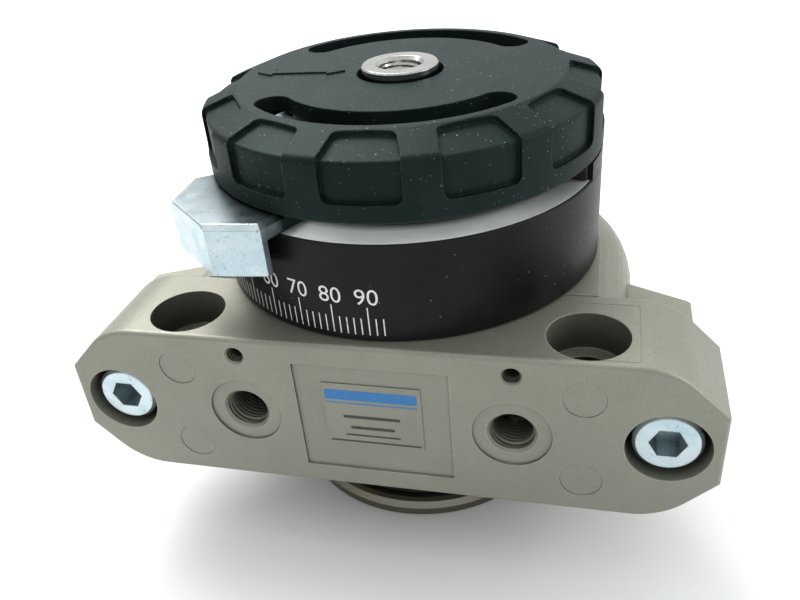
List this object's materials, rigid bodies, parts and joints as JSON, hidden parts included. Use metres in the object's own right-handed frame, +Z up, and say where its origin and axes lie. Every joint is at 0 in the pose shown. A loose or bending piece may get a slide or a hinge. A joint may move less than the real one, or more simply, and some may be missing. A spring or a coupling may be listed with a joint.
{
  "type": "rotary pneumatic actuator",
  "caption": "Rotary vane actuator with a split body, flanged hollow shaft, swing scale, adjustable stop levers and a grip cap.",
  "frame": {"origin": "centre of the output flange's face, which is the surface it stands on", "axes": "+Z up along the shaft to its threaded end, +X along the front plate, -Y out of the face with the air ports"},
  "size_m": [0.13, 0.0914, 0.0964],
  "materials": {
    "front_plate": "bead-blasted, warm grey",
    "rear_shell": "bead-blasted, warm grey",
    "body_gasket": "flat seal",
    "clamp_screws": "zinc plated",
    "dowel_pins": "ground",
    "label_plate": "thin printed film with plain marks",
    "stator": "machined",
    "stator_seal": "moulded",
    "stator_screws": "zinc plated",
    "upper_bearing": "sintered bronze bush",
    "upper_shaft_seal": "moulded",
    "lower_shaft_seal": "moulded",
    "bearing_outer_ring": "ground",
    "bearing_inner_ring": "ground",
    "bearing_balls": "polished",
    "bearing_cage": "pressed",
    "bearing_circlip": "phosphated spring steel",
    "flange_seal": "moulded",
    "stop_base": "turned",
    "scale_ring": "black anodised, printed scale",
    "base_screws": "zinc plated",
    "fixed_stop": "black anodised",
    "cushion_pads": "elastomer buffers",
    "stop_screws": "zinc plated",
    "output_shaft": "nickel plated",
    "vane": "machined",
    "vane_seal": "moulded",
    "vane_screws": "zinc plated",
    "stop_hub": "turned",
    "hub_key": "ground",
    "hub_nut": "black oxide",
    "cap": "satin black, fine grain",
    "front_lever": "blue-white zinc plated",
    "front_clamp_screw": "black oxide",
    "front_clamp_washer": "plain",
    "front_clamp_nut": "plain",
    "rear_lever": "blue-white zinc plated",
    "rear_clamp_screw": "black oxide",
    "rear_clamp_washer": "plain",
    "rear_clamp_nut": "plain"
  },
  "bodies": {
    "housing": {"front_plate": "front_plate", "rear_shell": "rear_shell", "body_gasket": "body_gasket", "clamp_screws": "clamp_screws", "dowel_pins": "dowel_pins", "label_plate": "label_plate", "stator": "stator", "stator_seal": "stator_seal", "stator_screws": "stator_screws", "upper_bearing": "upper_bearing", "upper_shaft_seal": "upper_shaft_seal", "lower_shaft_seal": "lower_shaft_seal", "bearing_outer_ring": "bearing_outer_ring", "bearing_balls": "bearing_balls", "bearing_cage": "bearing_cage", "bearing_circlip": "bearing_circlip", "stop_base": "stop_base", "scale_ring": "scale_ring", "base_screws": "base_screws", "fixed_stop": "fixed_stop", "cushion_pads": "cushion_pads", "stop_screws": "stop_screws"},
    "shaft": {"output_shaft": "output_shaft", "flange_seal": "flange_seal", "bearing_inner_ring": "bearing_inner_ring", "vane": "vane", "vane_seal": "vane_seal", "vane_screws": "vane_screws", "stop_hub": "stop_hub", "hub_key": "hub_key", "hub_nut": "hub_nut", "cap": "cap"},
    "front_stop": {"front_lever": "front_lever", "front_clamp_screw": "front_clamp_screw", "front_clamp_washer": "front_clamp_washer", "front_clamp_nut": "front_clamp_nut"},
    "rear_stop": {"rear_lever": "rear_lever", "rear_clamp_screw": "rear_clamp_screw", "rear_clamp_washer": "rear_clamp_washer", "rear_clamp_nut": "rear_clamp_nut"}
  },
  "joints": [
    {"name": "shaft_swing", "type": "hinge", "parent": "housing", "child": "shaft", "pos_m": [0, 0, 0.038], "axis": [0, 0, 1], "range_deg": [-92, 92]},
    {"name": "front_lever_set", "type": "hinge", "parent": "shaft", "child": "front_stop", "pos_m": [0, 0, 0.0783], "axis": [0, 0, 1], "range_deg": [-22, 0]},
    {"name": "rear_lever_set", "type": "hinge", "parent": "shaft", "child": "rear_stop", "pos_m": [0, 0, 0.0783], "axis": [0, 0, 1], "range_deg": [0, 22]}
  ]
}
